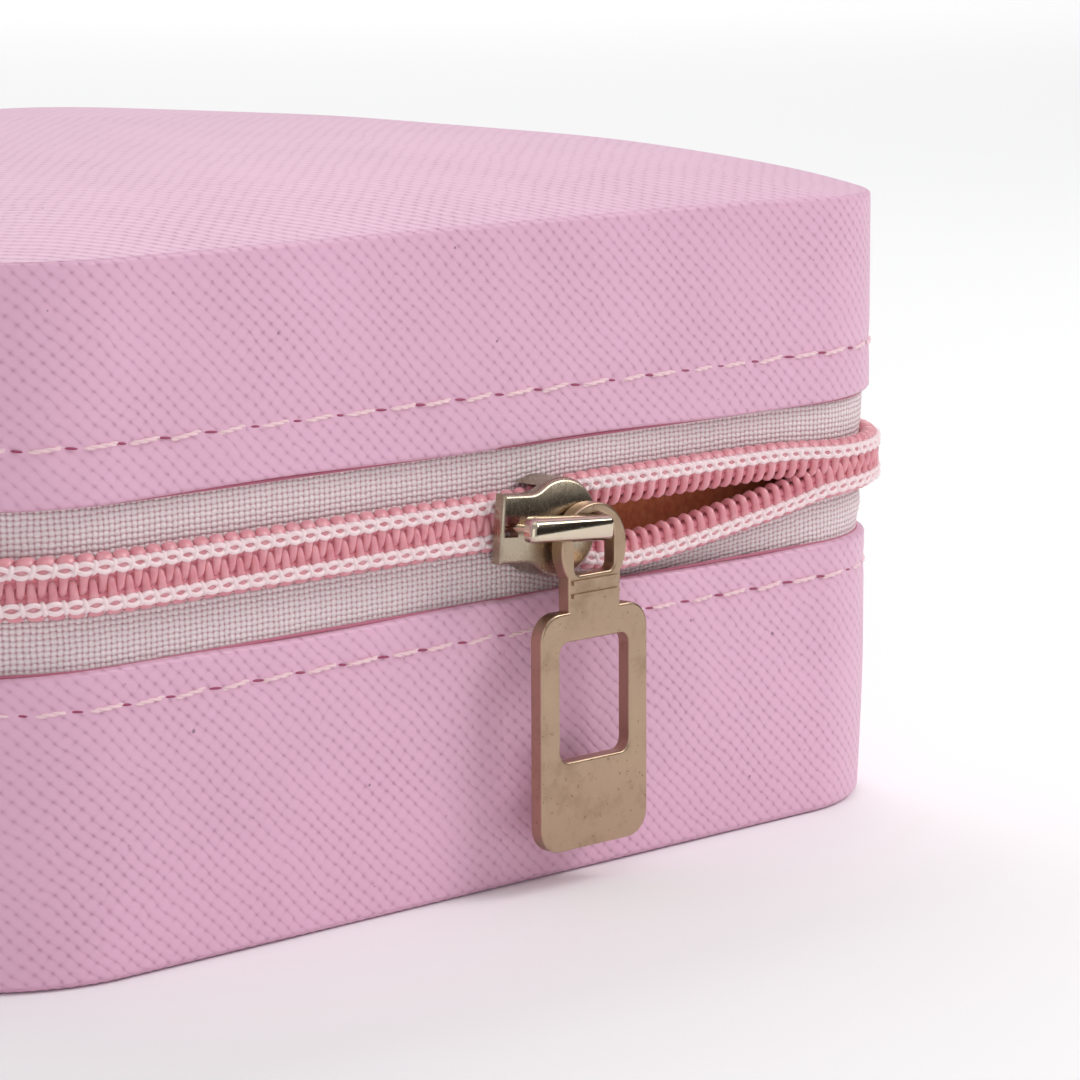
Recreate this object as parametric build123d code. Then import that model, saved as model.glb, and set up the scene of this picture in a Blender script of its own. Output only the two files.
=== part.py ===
from build123d import *
from math import cos, exp, radians, sin
import os

# Small zipped travel case for jewelry. Millimetres, +Z up, front towards -Y.
# Origin: centre of the case, on the surface that it stands on.

# ---- case shell ----
case_half = 50.0            # half the outside width, the same both ways
case_corner = 14.3          # outside radius of the four upright corners
rim_z = 50.0                # crease between the lid's side and its padded top
dome_rise = 5.7             # how far the padded top stands above the crease
dome_softness = 16.0        # inset over which most of that rise happens
dome_insets = (0.0, 2.0, 5.0, 10.0, 17.0, 26.0, 36.0, 44.0)
dome_rounding = 0.6         # how fast the outlines round off towards the middle
band_drop = 0.6             # the lid's side band stops this far under the crease
leather = 0.9               # covering leather
board = 1.8                 # stiff board inside the walls
floor_board = 2.0
top_board_drop = 3.1        # lid's stiff board below the crease
foot_inset = 0.4            # bottom cover inside the side leather
base_edge_z = 22.05         # top edge of the base's leather
lid_edge_z = 33.45          # bottom edge of the lid's leather
board_half = 48.4           # outside of the wall boards
collar_half = 46.1          # outside of the inner collar, which nests in the lid
collar_wall = 1.2
collar_top_z = 36.0
lining = 0.8
wall_lining = 0.35
wall_lining_play = 0.05

# ---- zip ----
zip_z = 27.9                # meeting line of the closed coils
zip_gap = 0.15              # half the clearance between the two coils
coil_height = 2.45
coil_depth = 1.9
tape = 0.5
tape_half = 49.0            # outside of the tapes
tape_tuck = 5.0             # hidden under each leather edge
tape_reveal = 0.35          # tape edge to the meeting line
zip_end_x = 28.0            # the zip stops here, each side of the back hinge
# How far the lower coil hangs below the meeting line, along the front.
coil_sag = [(2.0, 0.0), (5.0, 0.8), (8.0, 1.8), (12.0, 2.4), (20.0, 1.8), (27.0, 0.9), (35.0, 0.0)]

# ---- slider and pull ----
slider_x = -2.2             # closed end of the slider
slider_tilt = 5.0           # nose droops by this many degrees
slider_front_y = -52.3
slider_plate = 0.9
plate_edge = 0.3            # rounding of the plate's front edge
slider_back_y = -48.2       # front face of the back plate
slider_back_plate = 1.0
tail_half = 2.6
nose_centre = 6.2
nose_radius = 3.75
nose_blend = 2.0
post_start = 7.2
post_length = 2.2
post_half = 0.5
bridge_start = 0.45
bridge_thick = 1.0
bridge_back_y = -54.1
bridge_half = 0.95
bridge_corner = 0.5
bridge_edge = 0.45
bridge_rise = 0.2           # bridge above the slider's centre line
foot_u = 8.06               # bridge's foot, from the slider's closed end
foot_radius = 0.95
pin_u = 0.95
pin_radius = 0.3
recess_length = 1.4
recess_height = 1.6
pull_front_y = -53.85
pull_thick = 1.25
pull_play = 0.1             # foot to the ring's inner top
pull_edge = 0.2             # rounding of the pull's front and back edges
ring_radius = 3.4
ring_thinner = 0.55         # the ring is this much thinner above its hole
ring_hole = 2.1
ring_hole_height = 4.5
ring_hole_corner = 0.6
neck_half = 2.7
tab_half = 5.6
tab_length = 18.05
tab_top_drop = 6.15         # tab's shoulders below the pivot
tab_corner = 2.0
window_half = 3.65
window_length = 9.05
window_drop = 2.25          # window's top below the shoulders
window_corner = 0.9
rib_height = 0.35
rib_proud = 0.2
rib_drops = [4.0, 5.0]
rib_inset = 0.25            # rib ends inside the neck's sides
rib_corner = 0.15

# ---- inside ----
card = 1.0
partition_x = 2.0
partition_wall = 2.0
partition_top_z = 27.0
roll_count = 7
roll_pitch = 12.6
roll_width = 11.8
roll_height = 17.0
divider_y = [-14.9, 14.9]
divider_wall = 1.6
divider_top_z = 26.0
divider_play = 0.15
guide = 1.0
guide_height = 18.0
notch_radius = 6.0
hook_x = [-22.0, 0.0, 22.0]
hook_y = -28.0
hook_wire = 0.8
hook_drop = 4.2
hook_reach = 3.4
hook_disc = 2.6
hook_tip = 1.04
strip_half = (36.0, 5.0)
strip_corner = 3.0
pocket_half_x = 40.0
pocket_front_y = 2.0
pocket_back_y = 42.0
pocket_depth = 3.0
pocket_cloth = 0.7
pocket_border = 1.2
clear = 0.1                 # ordinary assembly clearance

tape_inner = tape_half - tape
coil_half = tape_half + coil_depth
board_inner = board_half - board
collar_inner = collar_half - collar_wall
floor_z = leather + floor_board
tray_z = floor_z + card
front_straight = case_half - case_corner
top_board_z = rim_z - top_board_drop
lining_z = top_board_z - lining
dome_base_z = rim_z - band_drop
foam_z = top_board_z + floor_board
zip_depth = 12.0            # deep enough to cut through every zip layer


def block(low, high):
    """A box between two opposite corners."""
    size = [h - l for l, h in zip(low, high)]
    centre = [(h + l) / 2 for l, h in zip(low, high)]
    return Pos(*centre) * Box(*size)


def rounded_block(half, low_z, high_z):
    """A slab with the case's plan, inset or outset to the given half width."""
    corner = case_corner - (case_half - half)
    return Pos(0, 0, low_z) * extrude(RectangleRounded(2 * half, 2 * half, corner), high_z - low_z)


def wall_ring(outer_half, inner_half, low_z, high_z):
    """A wall that follows the case's plan all the way round."""
    return rounded_block(outer_half, low_z, high_z) - rounded_block(inner_half, low_z - 1, high_z + 1)


def front_slab(sketch, back_y, front_y):
    """Thickens a sketch drawn in X and Z, from back_y towards the front."""
    return extrude(Plane.XZ.offset(-back_y) * sketch, back_y - front_y)


def dome():
    """The padded top: stacked outlines that shrink and round off towards the middle."""
    outlines = [Pos(0, 0, dome_base_z) * RectangleRounded(2 * case_half, 2 * case_half, case_corner)]
    for inset in dome_insets:
        half = case_half - inset
        corner_share = case_corner / case_half + dome_rounding * inset / case_half
        top_z = rim_z + dome_rise * (1 - exp(-inset / dome_softness))
        outlines.append(Pos(0, 0, top_z) * RectangleRounded(2 * half, 2 * half, half * corner_share))
    return loft(outlines, ruled=True)


# ---- base ----
def make_base_bottom_cover():
    return rounded_block(case_half - foot_inset, 0, leather)


def make_base_bottom_board():
    return rounded_block(case_half - leather - clear, leather, floor_z)


def make_base_wall_board():
    return wall_ring(board_half, board_inner, floor_z, base_edge_z - clear)


def make_base_band():
    return wall_ring(case_half, case_half - leather, leather, base_edge_z)


def make_inner_collar():
    return wall_ring(collar_half, collar_inner, floor_z, collar_top_z)


def make_tray_floor():
    return rounded_block(collar_inner - clear, floor_z, tray_z)


def make_partition():
    half_wall = partition_wall / 2
    reach = collar_inner - clear
    return block((partition_x - half_wall, -reach, tray_z), (partition_x + half_wall, reach, partition_top_z))


def make_ring_roll(index):
    """One soft roll across the left half; rings are pushed in between two of them."""
    centre_y = (index - (roll_count - 1) / 2) * roll_pitch
    radius = roll_width / 2
    shoulder_z = tray_z + roll_height - radius
    right = partition_x - partition_wall / 2 - clear
    left = -collar_inner
    body = block((left, centre_y - radius, tray_z), (right, centre_y + radius, shoulder_z))
    crown = Pos((left + right) / 2, centre_y, shoulder_z) * Rot(0, 90, 0) * Cylinder(radius, right - left)
    return (body + crown) & rounded_block(collar_inner - clear, tray_z, collar_top_z)


def divider_ends():
    return partition_x + partition_wall / 2 + 2 * clear, collar_inner - 2 * clear


def make_divider(centre_y):
    """A removable cross wall with a finger notch in its top edge."""
    left, right = divider_ends()
    half = divider_wall / 2
    wall = block((left, centre_y - half, tray_z + clear), (right, centre_y + half, divider_top_z))
    notch = Pos((left + right) / 2, centre_y, divider_top_z) * Rot(90, 0, 0) * Cylinder(notch_radius, 2 * divider_wall)
    return wall - notch


def make_divider_guides():
    """Pairs of strips that keep both ends of each divider upright."""
    left, right = divider_ends()
    strips = []
    for centre_y in divider_y:
        for start_x in (left - 2 * clear, right + 2 * clear - guide):
            for side in (-1, 1):
                middle = centre_y + side * (divider_wall / 2 + divider_play + guide / 2)
                low = (start_x, middle - guide / 2, tray_z)
                high = (start_x + guide, middle + guide / 2, tray_z + guide_height)
                strips.append(block(low, high))
    return Compound(children=strips)


def back_gap():
    """The stretch of the back where the hinge strip takes the zip's place."""
    return block((-zip_end_x, case_half - zip_depth, 0), (zip_end_x, case_half + zip_depth, rim_z))


def front_gap():
    """The straight stretch of the front, where the lower coil sags."""
    return block((-front_straight, -case_half - zip_depth, 0), (front_straight, zip_depth - case_half, rim_z))


def sagging_strip(top_z, bottom_z, bottom_sags):
    """The front stretch of a strip whose top edge hangs down beside the open slider."""
    top = [(-front_straight, top_z)] + [(x, top_z - sag) for x, sag in coil_sag] + [(front_straight, top_z)]
    bottom = [(front_straight, bottom_z), (-front_straight, bottom_z)]
    if bottom_sags:
        bottom[1:1] = [(x, bottom_z - sag) for x, sag in reversed(coil_sag)]
    return make_face(Polyline(*top, *bottom, close=True))


def make_zip_tape_lower():
    top_z = zip_z - tape_reveal
    bottom_z = base_edge_z - tape_tuck
    rest = wall_ring(tape_half, tape_inner, bottom_z, top_z) - back_gap() - front_gap()
    return rest + front_slab(sagging_strip(top_z, bottom_z, False), -tape_inner, -tape_half)


def make_zip_coil_lower():
    top_z = zip_z - zip_gap
    bottom_z = top_z - coil_height
    rest = wall_ring(coil_half, tape_half, bottom_z, top_z) - back_gap() - front_gap()
    return rest + front_slab(sagging_strip(top_z, bottom_z, True), -tape_half, -coil_half)


def make_hinge_strip():
    """The flexible strip across the back that the lid swings on."""
    low = (clear - zip_end_x, tape_inner, base_edge_z - tape_tuck)
    high = (zip_end_x - clear, tape_half, lid_edge_z + tape_tuck)
    return block(low, high)


# ---- lid ----
def make_lid_band():
    return wall_ring(case_half, case_half - leather, lid_edge_z, dome_base_z)


def make_lid_wall_board():
    return wall_ring(board_half, board_inner, lid_edge_z + clear, top_board_z)


def make_lid_top_board():
    return rounded_block(case_half - leather - clear, top_board_z, foam_z)


def make_lid_cover():
    """The leather over the padding, creased where it meets the side band."""
    return dome() - Pos(0, 0, -leather) * dome()


def make_lid_foam():
    return (Pos(0, 0, -leather - clear) * dome()) & rounded_block(case_half - leather - clear, foam_z, 2 * rim_z)


def make_lid_lining():
    return rounded_block(board_inner - clear, lining_z, top_board_z)


def make_lid_wall_lining():
    outer = board_inner - wall_lining_play
    return wall_ring(outer, outer - wall_lining, collar_top_z + lining, lining_z)


def make_zip_tape_upper():
    return wall_ring(tape_half, tape_inner, zip_z + tape_reveal, lid_edge_z + tape_tuck) - back_gap()


def make_zip_coil_upper():
    bottom_z = zip_z + zip_gap
    return wall_ring(coil_half, tape_half, bottom_z, bottom_z + coil_height) - back_gap()


def make_hook_strip():
    plan = RectangleRounded(2 * strip_half[0], 2 * strip_half[1], strip_corner)
    return Pos(0, hook_y, lining_z - card) * extrude(plan, card)


def make_hook(centre_x):
    """A necklace hook: a stem out of its disc, and an arm that points up when the lid is open."""
    root_z = lining_z - card
    disc = Pos(centre_x, hook_y, root_z - card / 2) * Cylinder(hook_disc, card)
    stem = Pos(centre_x, hook_y, root_z - card - hook_drop / 2) * Cylinder(hook_wire, hook_drop)
    elbow_z = root_z - card - hook_drop
    elbow = Pos(centre_x, hook_y, elbow_z) * Sphere(hook_wire)
    arm = Pos(centre_x, hook_y - hook_reach / 2, elbow_z) * Rot(90, 0, 0) * Cylinder(hook_wire, hook_reach)
    tip = Pos(centre_x, hook_y - hook_reach, elbow_z) * Sphere(hook_tip)
    return disc + stem + elbow + arm + tip


def make_pocket_panel():
    """A flat elastic pocket, closed on three sides and open towards the hooks."""
    panel_z = lining_z - pocket_depth - pocket_cloth
    x = pocket_half_x
    sheet = block((-x, pocket_front_y, panel_z), (x, pocket_back_y, panel_z + pocket_cloth))
    rim = block((-x, pocket_front_y, panel_z + pocket_cloth), (x, pocket_back_y, lining_z))
    inside = block(
        (pocket_border - x, pocket_front_y - 1, panel_z + pocket_cloth),
        (x - pocket_border, pocket_back_y - pocket_border, lining_z),
    )
    return sheet + (rim - inside)


def make_pocket_hem():
    panel_z = lining_z - pocket_depth - pocket_cloth
    low = (-pocket_half_x, pocket_front_y - 2 * pocket_cloth, panel_z - pocket_cloth / 2)
    high = (pocket_half_x, pocket_front_y, panel_z + 1.5 * pocket_cloth)
    return block(low, high)


# ---- slider ----
def on_slider(shape):
    """Puts a shape drawn from the slider's closed end where the tilted slider is."""
    return Pos(slider_x, 0, zip_z) * Rot(0, slider_tilt, 0) * shape


def slider_outline():
    tail = Pos(nose_centre / 2, 0) * Rectangle(nose_centre, 2 * tail_half)
    outline = tail + Pos(nose_centre, 0) * Circle(nose_radius)
    necks = outline.vertices().filter_by_position(Axis.X, 1.0, nose_centre)
    return fillet(necks, nose_blend)


def chain_channel():
    """Room for the two coils, which part towards the slider's nose."""
    upper_z = zip_z + zip_gap + coil_height + zip_gap
    lower_z = zip_z - zip_gap - coil_height - zip_gap
    before = slider_x - 2
    after = slider_x + 2 * nose_centre
    edge = [(x, lower_z - sag) for x, sag in coil_sag if x < after]
    outline = [(before, upper_z), (before, lower_z), *edge, (after, edge[-1][1]), (after, upper_z)]
    plate_back_y = slider_front_y + slider_plate
    return front_slab(make_face(Polyline(*outline, close=True)), slider_back_y, plate_back_y)


def make_slider_body():
    plate_back_y = slider_front_y + slider_plate
    lip_y = -tape_half - zip_gap - clear
    plate = front_slab(slider_outline(), plate_back_y, slider_front_y)
    plate = fillet(plate.faces().sort_by(Axis.Y)[0].edges(), plate_edge)
    recess = Pos(pin_u, bridge_rise) * Rectangle(recess_length, recess_height)
    plate -= front_slab(recess, plate_back_y + 1, slider_front_y - 1)
    lips = on_slider(front_slab(slider_outline(), lip_y, plate_back_y)) - chain_channel()
    middle = post_start + post_length / 2
    diamond = [(post_start, 0), (middle, post_half), (post_start + post_length, 0), (middle, -post_half)]
    post = front_slab(make_face(Polyline(*diamond, close=True)), slider_back_y, plate_back_y)
    back = front_slab(slider_outline(), slider_back_y + slider_back_plate, slider_back_y)
    return on_slider(plate + post + back) + lips


def make_slider_bridge():
    """The bar over the plate, held by one round foot that the pull hangs on."""
    front_y = bridge_back_y - bridge_thick
    end = foot_u + foot_radius
    bar = Pos((bridge_start + end) / 2, bridge_rise) * Rectangle(end - bridge_start, 2 * bridge_half)
    bar = front_slab(fillet(bar.vertices(), bridge_corner), bridge_back_y, front_y)
    bar = fillet(bar.faces().sort_by(Axis.Y)[0].edges(), bridge_edge)
    foot = front_slab(Pos(foot_u, bridge_rise) * Circle(foot_radius), slider_front_y, bridge_back_y)
    return on_slider(bar + foot)


def make_lock_pin():
    """The spring pin under the bridge's free end that drops into the plate's recess."""
    tip_y = slider_front_y + slider_plate / 2
    return on_slider(front_slab(Pos(pin_u, bridge_rise) * Circle(pin_radius), tip_y, bridge_back_y))


def pull_pivot():
    """Centre of the bridge's foot in X and Z."""
    turn = radians(slider_tilt)
    pivot_x = slider_x + foot_u * cos(turn) + bridge_rise * sin(turn)
    pivot_z = zip_z - foot_u * sin(turn) + bridge_rise * cos(turn)
    return pivot_x, pivot_z


def make_pull_tab():
    """The pull hangs straight down from the foot: a ring, a ribbed neck and a windowed tab."""
    hole_top = foot_radius + pull_play
    hole_centre = hole_top - ring_hole
    ring_top = hole_top + ring_radius - ring_hole - ring_thinner
    ring_centre = ring_top - ring_radius
    tab_top = -tab_top_drop
    hole_bottom = hole_top - ring_hole_height
    outline = Pos(0, ring_centre) * Circle(ring_radius)
    outline += Pos(0, (ring_centre + tab_top) / 2) * Rectangle(2 * neck_half, ring_centre - tab_top)
    tab = RectangleRounded(2 * tab_half, tab_length, tab_corner)
    outline += Pos(0, tab_top - tab_length / 2) * tab
    hole = Pos(0, hole_centre) * Circle(ring_hole)
    hole_box = Rectangle(2 * ring_hole, hole_centre - hole_bottom)
    hole += Pos(0, (hole_centre + hole_bottom) / 2) * hole_box
    hole = fillet(hole.vertices().group_by(Axis.Y)[0], ring_hole_corner)
    window_shape = RectangleRounded(2 * window_half, window_length, window_corner)
    window = Pos(0, tab_top - window_drop - window_length / 2) * window_shape
    back_y = pull_front_y + pull_thick
    body = front_slab(outline - hole - window, back_y, pull_front_y)
    faces = body.faces().sort_by(Axis.Y)
    body = fillet(faces[0].edges() + faces[-1].edges(), pull_edge)
    for drop in rib_drops:
        rib = Pos(0, -drop) * RectangleRounded(2 * (neck_half - rib_inset), rib_height, rib_corner)
        body += front_slab(rib, pull_front_y, pull_front_y - rib_proud)
    pivot_x, pivot_z = pull_pivot()
    return Pos(pivot_x, 0, pivot_z) * body


parts = {
    "base_bottom_cover": make_base_bottom_cover(),
    "base_bottom_board": make_base_bottom_board(),
    "base_wall_board": make_base_wall_board(),
    "base_band": make_base_band(),
    "inner_collar": make_inner_collar(),
    "tray_floor": make_tray_floor(),
    "partition": make_partition(),
    "divider_guides": make_divider_guides(),
    "zip_tape_lower": make_zip_tape_lower(),
    "zip_coil_lower": make_zip_coil_lower(),
    "hinge_strip": make_hinge_strip(),
    "lid_band": make_lid_band(),
    "lid_wall_board": make_lid_wall_board(),
    "lid_top_board": make_lid_top_board(),
    "lid_cover": make_lid_cover(),
    "lid_foam": make_lid_foam(),
    "lid_lining": make_lid_lining(),
    "lid_wall_lining": make_lid_wall_lining(),
    "zip_tape_upper": make_zip_tape_upper(),
    "zip_coil_upper": make_zip_coil_upper(),
    "hook_strip": make_hook_strip(),
    "pocket_panel": make_pocket_panel(),
    "pocket_hem": make_pocket_hem(),
    "slider_body": make_slider_body(),
    "slider_bridge": make_slider_bridge(),
    "lock_pin": make_lock_pin(),
    "pull_tab": make_pull_tab(),
}
for index in range(roll_count):
    parts[f"ring_roll_{index + 1}"] = make_ring_roll(index)
for index, centre_y in enumerate(divider_y):
    parts[f"divider_{index + 1}"] = make_divider(centre_y)
for index, centre_x in enumerate(hook_x):
    parts[f"hook_{index + 1}"] = make_hook(centre_x)

os.makedirs("parts", exist_ok=True)
for name, part in parts.items():
    export_step(part, f"parts/{name}.step")

pivot_x, pivot_z = pull_pivot()
print(f"pull pivot x {pivot_x:.3f} z {pivot_z:.3f}, lining z {lining_z:.2f}, foam z {foam_z:.2f}")
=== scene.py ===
"""Looks for the zipped travel jewelry box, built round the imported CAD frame.

Metres, +Z up, front towards -Y. Places on the case are given as arc length along its plan from the front's
middle, distance out from the leather's face, and height.
"""

import math

import bmesh
import bpy
import numpy as np
from mathutils import Matrix, Vector


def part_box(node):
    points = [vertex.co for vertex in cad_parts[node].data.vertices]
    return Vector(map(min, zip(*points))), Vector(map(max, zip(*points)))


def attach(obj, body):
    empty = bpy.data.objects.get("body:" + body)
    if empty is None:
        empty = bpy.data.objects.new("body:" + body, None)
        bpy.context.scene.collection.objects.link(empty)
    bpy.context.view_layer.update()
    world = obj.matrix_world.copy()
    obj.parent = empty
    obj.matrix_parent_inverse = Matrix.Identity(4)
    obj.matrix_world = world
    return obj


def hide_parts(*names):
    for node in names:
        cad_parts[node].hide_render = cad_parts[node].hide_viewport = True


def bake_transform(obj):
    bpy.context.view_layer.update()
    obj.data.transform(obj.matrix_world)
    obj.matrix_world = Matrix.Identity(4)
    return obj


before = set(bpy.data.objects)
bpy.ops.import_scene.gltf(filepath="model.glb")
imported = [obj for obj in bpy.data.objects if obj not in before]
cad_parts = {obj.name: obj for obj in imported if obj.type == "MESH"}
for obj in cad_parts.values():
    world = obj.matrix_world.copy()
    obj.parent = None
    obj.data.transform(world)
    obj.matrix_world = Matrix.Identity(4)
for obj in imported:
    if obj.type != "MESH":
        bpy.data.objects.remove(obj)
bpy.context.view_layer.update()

MM = 0.001
SEED = 7

# ---- places, read from the frame ----
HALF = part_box("base_band")[1].x
CORNER = 14.3 * MM
BASE_EDGE_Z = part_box("base_band")[1].z
LID_EDGE_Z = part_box("lid_band")[0].z
RIM_ABOVE_BAND = 0.6 * MM
RIM_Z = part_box("lid_band")[1].z + RIM_ABOVE_BAND
FOOT_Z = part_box("base_bottom_cover")[1].z
ZIP_Z = (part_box("zip_coil_lower")[1].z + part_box("zip_coil_upper")[0].z) / 2
CHAIN_LIFT = 0.2 * MM
TAPE_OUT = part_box("zip_tape_upper")[1].x - HALF
TAPE_THICKNESS = 0.5 * MM
TAPE_IN = TAPE_OUT - TAPE_THICKNESS
TAPE_LOW_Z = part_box("zip_tape_lower")[0].z
TAPE_HIGH_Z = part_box("zip_tape_upper")[1].z
LEATHER = 0.9 * MM
STRAIGHT = HALF - CORNER
PERIMETER = 8 * STRAIGHT + 2 * math.pi * CORNER
ZIP_END_GAP = 0.1 * MM
ZIP_END_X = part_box("hinge_strip")[1].x + ZIP_END_GAP
ZIP_HALF_LENGTH = PERIMETER / 2 - ZIP_END_X

# How far the lower coil hangs below the meeting line, at stations along the front.
SAG_X = np.array([-4.0, 2.0, 5.0, 8.0, 12.0, 16.0, 20.0, 27.0, 35.0, 40.0]) * MM
SAG_Z = np.array([0.0, 0.0, 0.8, 1.8, 2.4, 2.25, 1.8, 0.9, 0.0, 0.0]) * MM


# ---- camera ----
# The camera stands front left of the case, a little above it, and looks at the front's right half.
CAMERA_TARGET = Vector((3.9, -50.0, 26.17)) * MM
CAMERA_AZIMUTH = math.radians(-44.55)
CAMERA_ELEVATION = math.radians(9.4)
CAMERA_DISTANCE = 312.2 * MM
CAMERA_ROLL = math.radians(0.22)
SENSOR_MM = 36.0
CAMERA_LENS_MM = 139.7
CAMERA_NEAR = 10 * MM


def direction(azimuth, elevation):
    """Unit vector towards that azimuth, where 0 is in front of the case and 90 degrees at its right."""
    level = math.cos(elevation)
    return Vector((math.sin(azimuth) * level, -math.cos(azimuth) * level, math.sin(elevation)))


def make_camera():
    back = direction(CAMERA_AZIMUTH, CAMERA_ELEVATION)
    data = bpy.data.cameras.new("camera")
    data.sensor_width = SENSOR_MM
    data.lens = CAMERA_LENS_MM
    data.clip_start = CAMERA_NEAR
    camera = bpy.data.objects.new("camera", data)
    bpy.context.scene.collection.objects.link(camera)
    camera.location = CAMERA_TARGET + back * CAMERA_DISTANCE
    turn = (-back).to_track_quat("-Z", "Y").to_matrix()
    camera.rotation_euler = (turn @ Matrix.Rotation(-CAMERA_ROLL, 3, "Z")).to_euler()
    bpy.context.scene.camera = camera


# ---- shader building ----
class Shader:
    """A Principled material whose node tree is put together by short calls."""

    def __init__(self, name):
        self.material = bpy.data.materials.new(name)
        self.material.use_nodes = True
        self.tree = self.material.node_tree
        self.bsdf = self.tree.nodes["Principled BSDF"]

    def node(self, kind, **settings):
        made = self.tree.nodes.new(kind)
        for key, value in settings.items():
            setattr(made, key, value)
        return made

    def link(self, value, socket):
        if isinstance(value, bpy.types.NodeSocket):
            self.tree.links.new(value, socket)
        else:
            socket.default_value = value

    def math(self, operation, a, b=0.0, c=0.0):
        made = self.node("ShaderNodeMath", operation=operation)
        for value, socket in zip((a, b, c), made.inputs):
            self.link(value, socket)
        return made.outputs[0]

    def mix(self, share, a, b, blend="MIX"):
        made = self.node("ShaderNodeMix", data_type="RGBA", blend_type=blend)
        self.link(share, made.inputs["Factor"])
        self.link(a, made.inputs["A"])
        self.link(b, made.inputs["B"])
        return made.outputs["Result"]

    def ramp(self, value, low, high):
        made = self.node("ShaderNodeMapRange")
        self.link(value, made.inputs["Value"])
        self.link(low, made.inputs["From Min"])
        self.link(high, made.inputs["From Max"])
        return made.outputs["Result"]

    def uv(self):
        """The piece's own coordinates, in millimetres."""
        made = self.node("ShaderNodeUVMap", uv_map="mm")
        return made.outputs["UV"]

    def place(self):
        """Object coordinates, in metres."""
        return self.node("ShaderNodeTexCoord").outputs["Object"]

    def split(self, vector):
        made = self.node("ShaderNodeSeparateXYZ")
        self.link(vector, made.inputs[0])
        return made.outputs[0], made.outputs[1], made.outputs[2]

    def noise(self, vector, scale, detail=3.0, roughness=0.55):
        made = self.node("ShaderNodeTexNoise")
        self.link(vector, made.inputs["Vector"])
        made.inputs["Scale"].default_value = scale
        made.inputs["Detail"].default_value = detail
        made.inputs["Roughness"].default_value = roughness
        return made.outputs["Fac"]

    def drift(self, vector, scale, reach, detail=2.0):
        """The vector, shifted about in x and y by a noise; reach is the longest shift."""
        made = self.node("ShaderNodeTexNoise")
        self.link(vector, made.inputs["Vector"])
        made.inputs["Scale"].default_value = scale
        made.inputs["Detail"].default_value = detail
        shift = self.node("ShaderNodeVectorMath", operation="MULTIPLY_ADD")
        self.link(made.outputs["Color"], shift.inputs[0])
        shift.inputs[1].default_value = (reach, reach, 0.0)
        self.link(vector, shift.inputs[2])
        return shift.outputs[0]

    def bump(self, height, strength, distance, normal=None):
        made = self.node("ShaderNodeBump")
        made.inputs["Strength"].default_value = strength
        made.inputs["Distance"].default_value = distance
        self.link(height, made.inputs["Height"])
        if normal is not None:
            self.link(normal, made.inputs["Normal"])
        return made.outputs["Normal"]

    def set(self, **sockets):
        for key, value in sockets.items():
            self.link(value, self.bsdf.inputs[key.replace("_", " ")])
        return self.material


def colour(red, green, blue):
    """A shader colour from the usual 0 to 255 display values."""
    linear = [c / 255 / 12.92 if c <= 10 else ((c / 255 + 0.055) / 1.055) ** 2.4 for c in (red, green, blue)]
    return (*linear, 1.0)


# ---- materials ----
# The leather's emboss. Widths are in the uv's millimetres, and the rates set the two grooves' slants apart.
GRAIN_WIDTH = 1.37
GRAIN_HEIGHT = 1.2
GRAIN_DEPTH = 0.062 * MM
GRAIN_DRIFT = 0.9
MAIN_GROOVE_RATE = 1.08
CROSS_GROOVE_RATE = 0.92
SPECK = colour(96, 60, 78)


def make_leather(name, base, groove_shade):
    """Coated leather with a cross-hatched emboss: rounded lozenges, diagonal grooves and small pits, with
    painted shade darkening the grooves and pits.
    """
    s = Shader(name)
    uv = s.uv()
    x, y, _ = s.split(s.drift(uv, 0.3, GRAIN_DRIFT, 2.5))
    x = s.math("DIVIDE", x, GRAIN_WIDTH)
    y = s.math("DIVIDE", y, GRAIN_HEIGHT)
    main = s.math("MULTIPLY", s.math("ADD", x, y), MAIN_GROOVE_RATE * math.pi)
    cross = s.math("MULTIPLY", s.math("SUBTRACT", x, y), CROSS_GROOVE_RATE * math.pi)
    main_low = groove_depth(s, main, 1.5)
    cross_low = groove_depth(s, cross, 1.3)
    worn = s.ramp(s.noise(uv, 0.12, 2.0), 0.3, 0.7)
    cross_low = s.math("MULTIPLY", cross_low, s.math("MULTIPLY_ADD", worn, 0.5, 0.4))
    pits = s.math("MULTIPLY", main_low, cross_low)
    low = s.math("MULTIPLY_ADD", cross_low, 0.4, s.math("MULTIPLY", main_low, 0.8))
    low = s.math("MULTIPLY_ADD", pits, 0.7, low)
    grit = s.noise(uv, 7.0, 4.0, 0.7)
    height = s.math("MULTIPLY_ADD", grit, 0.1, s.math("MULTIPLY", low, -1.0))
    cloud = s.noise(uv, 0.06, 3.0)
    tone = s.mix(s.ramp(cloud, 0.3, 0.75), base, colour(*[0.97 * c for c in srgb(base)]))
    speck = s.ramp(s.noise(uv, 1.7, 0.0), 0.875, 0.885)
    tone = s.mix(s.math("MULTIPLY", speck, 0.6), tone, SPECK)
    # Painted shade: the grooves and pits are mixed towards the darker groove colour.
    pit_shade_share = s.math("MINIMUM", s.math("MULTIPLY_ADD", pits, 0.5, s.math("MULTIPLY", low, 0.1)), 1.0)
    tone = s.mix(pit_shade_share, tone, groove_shade)
    rough = s.math("MULTIPLY_ADD", grit, 0.16, 0.36)
    normal = s.bump(height, 1.0, GRAIN_DEPTH)
    return s.set(Base_Color=tone, Roughness=rough, Normal=normal, Specular_IOR_Level=0.5, Sheen_Weight=0.12)


def groove_depth(s, phase, sharpness):
    """A row of grooves: 1 at the bottom of each and 0 between them."""
    ridge = s.math("ABSOLUTE", s.math("SINE", phase))
    return s.math("POWER", s.math("SUBTRACT", 1.0, ridge), sharpness)


def srgb(linear):
    """Display values, 0 to 255, of a shader colour."""
    return [255 * (12.92 * c if c <= 0.0031 else 1.055 * c ** (1 / 2.4) - 0.055) for c in linear[:3]]


YARN_DRIFT = 0.25
LEVEL_YARN_DROP = 0.12


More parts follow.
